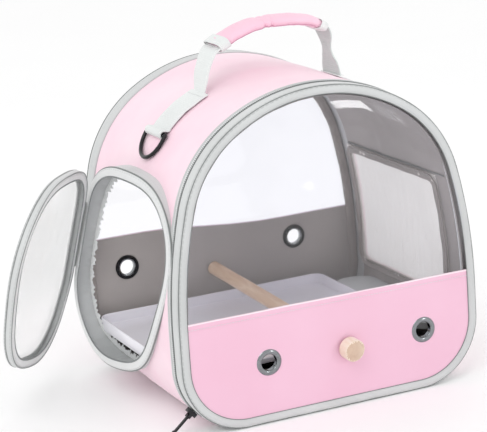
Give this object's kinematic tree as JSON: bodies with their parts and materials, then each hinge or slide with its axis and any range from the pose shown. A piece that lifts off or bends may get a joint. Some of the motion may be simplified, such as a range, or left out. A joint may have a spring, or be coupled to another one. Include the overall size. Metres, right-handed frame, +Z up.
{
  "type": "bird travel carrier",
  "caption": "Soft arch-shaped carrier for a small bird, with a clear fold-down front, a round zipped side door, a mesh window, a perch across the cabin and a lift-in tray.",
  "frame": {"origin": "middle of the floor, on the underside that stands on the table", "axes": "+Z up, the clear front panel faces -Y, the side door is at -X"},
  "size_m": [0.5204, 0.3244, 0.4223],
  "materials": {
    "pink_cloth": "soft plain weave",
    "grey_lining": "soft plain weave",
    "grey_binding": "tape",
    "pale_band": "tape",
    "webbing": "ribbed webbing",
    "zip_teeth": "moulded coil",
    "net": "open mesh",
    "clear_sheet": "clear film",
    "board": "stiff board",
    "spring_steel": "strip",
    "eyelet_metal": "bright plated",
    "bolt_steel": "zinc plated",
    "black_metal": "black lacquer",
    "timber": "sanded, unvarnished",
    "tray_plastic": "moulded"
  },
  "bodies": {
    "root": {"shell_cover": "pink_cloth", "shell_lining": "grey_lining", "floor_board": "board", "front_zip_tape": "grey_binding", "front_piping": "grey_lining", "front_zip_teeth": "zip_teeth", "front_sill": "grey_binding", "rear_gusset": "pale_band", "rear_piping": "grey_lining", "rear_binding": "grey_binding", "rear_panel": "pink_cloth", "rear_lining": "grey_lining", "rear_window": "clear_sheet", "rear_inner_binding": "grey_binding", "rear_hoop": "spring_steel", "rear_eyelets": "eyelet_metal", "rear_washers": "eyelet_metal", "door_rim": "pale_band", "door_rim_tape": "grey_binding", "door_rim_teeth": "zip_teeth", "door_rim_lining": "pale_band", "door_hinge_tape": "grey_binding", "side_mesh": "net", "mesh_hem": "grey_binding", "tray": "tray_plastic", "side_pad": "grey_lining", "perch": "timber", "left_strap": "webbing", "right_strap": "webbing", "front_slider": "black_metal", "door_slider": "black_metal"},
    "front_panel_body": {"front_gusset": "pale_band", "front_binding": "grey_binding", "front_panel": "pink_cloth", "front_lining": "grey_lining", "front_window": "clear_sheet", "front_inner_binding": "grey_binding", "front_hoop": "spring_steel", "front_eyelets": "eyelet_metal", "front_washers": "eyelet_metal", "panel_teeth": "zip_teeth"},
    "front_knob_body": {"front_knob": "timber", "front_bolt": "bolt_steel"},
    "rear_knob_body": {"rear_knob": "timber", "rear_bolt": "bolt_steel"},
    "side_door_body": {"door_band": "pale_band", "door_tape": "grey_binding", "door_teeth": "zip_teeth", "door_window": "clear_sheet", "door_binding": "grey_binding"},
    "door_pull_body": {"door_pull": "black_metal"},
    "front_pull_body": {"front_pull": "black_metal"},
    "handle_body": {"handle_webbing": "webbing", "handle_grip": "pink_cloth", "handle_keepers": "webbing"},
    "left_d_ring_body": {"left_d_ring": "black_metal"},
    "right_d_ring_body": {"right_d_ring": "black_metal"}
  },
  "joints": [
    {"name": "front_panel_hinge", "type": "hinge", "parent": "root", "child": "front_panel_body", "pos_m": [0, -0.1454, 0], "axis": [1, 0, 0], "range_deg": [0, 72]},
    {"name": "front_knob_turn", "type": "hinge", "parent": "front_panel_body", "child": "front_knob_body", "pos_m": [0.016, -0.144, 0.067], "axis": [0.1132, -0.9879, -0.1063], "continuous": true},
    {"name": "rear_knob_turn", "type": "hinge", "parent": "root", "child": "rear_knob_body", "pos_m": [-0.017, 0.144, 0.098], "axis": [-0.1132, 0.9879, 0.1063], "continuous": true},
    {"name": "side_door_hinge", "type": "hinge", "parent": "root", "child": "side_door_body", "pos_m": [-0.19589, 0.11621, 0.17479], "axis": [-0.02, 0.3817, -0.9241], "range_deg": [-42, 68]},
    {"name": "door_pull_swing", "type": "hinge", "parent": "root", "child": "door_pull_body", "pos_m": [-0.1868, 0.14525, 0.11956], "axis": [0.9986, 0.0523, 0], "range_deg": [0, 75]},
    {"name": "front_pull_swing", "type": "hinge", "parent": "root", "child": "front_pull_body", "pos_m": [-0.16989, -0.126, 0.02039], "axis": [0, 1, 0], "range_deg": [-80, 80]},
    {"name": "handle_swing", "type": "hinge", "parent": "root", "child": "handle_body", "pos_m": [0, -0.012, 0.36779], "axis": [1, 0, 0], "range_deg": [-60, 60]},
    {"name": "left_d_ring_swing", "type": "hinge", "parent": "root", "child": "left_d_ring_body", "pos_m": [-0.13562, -0.012, 0.30825], "axis": [0, 1, 0], "range_deg": [0, 120]},
    {"name": "right_d_ring_swing", "type": "hinge", "parent": "root", "child": "right_d_ring_body", "pos_m": [0.13562, -0.012, 0.30825], "axis": [0, -1, 0], "range_deg": [0, 120]}
  ]
}
